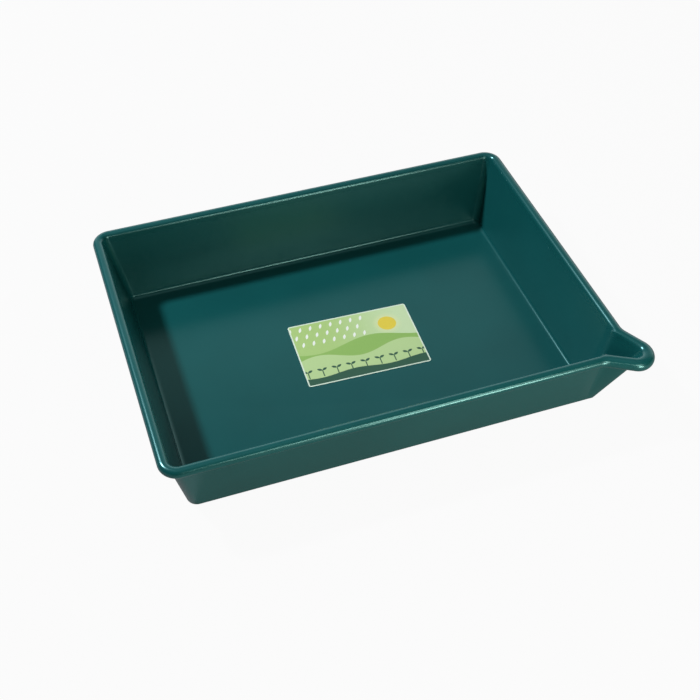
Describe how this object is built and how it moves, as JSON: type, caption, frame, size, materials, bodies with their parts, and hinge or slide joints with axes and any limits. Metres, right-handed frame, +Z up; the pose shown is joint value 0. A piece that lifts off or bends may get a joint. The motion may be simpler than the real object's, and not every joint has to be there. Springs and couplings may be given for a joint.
{
  "type": "watering tray",
  "caption": "Shallow rectangular plastic watering tray with leaning walls, a rolled rim, a pouring lip at one corner and a paper label stuck to its flat floor.",
  "frame": {"origin": "centre of the flat underside, on the surface that the tray stands on, under the middle of the rim's rectangle", "axes": "+X along the long side, +Y along the short side, away from the pouring lip, +Z up out of the tray; the lip is at the corner +X -Y"},
  "size_m": [0.3875, 0.2875, 0.066],
  "materials": {
    "tray_plastic": "satin moulded",
    "label_paper": "semi-gloss printed"
  },
  "bodies": {
    "root": {"tray_moulding": "tray_plastic", "floor_label": "label_paper"}
  },
  "joints": []
}
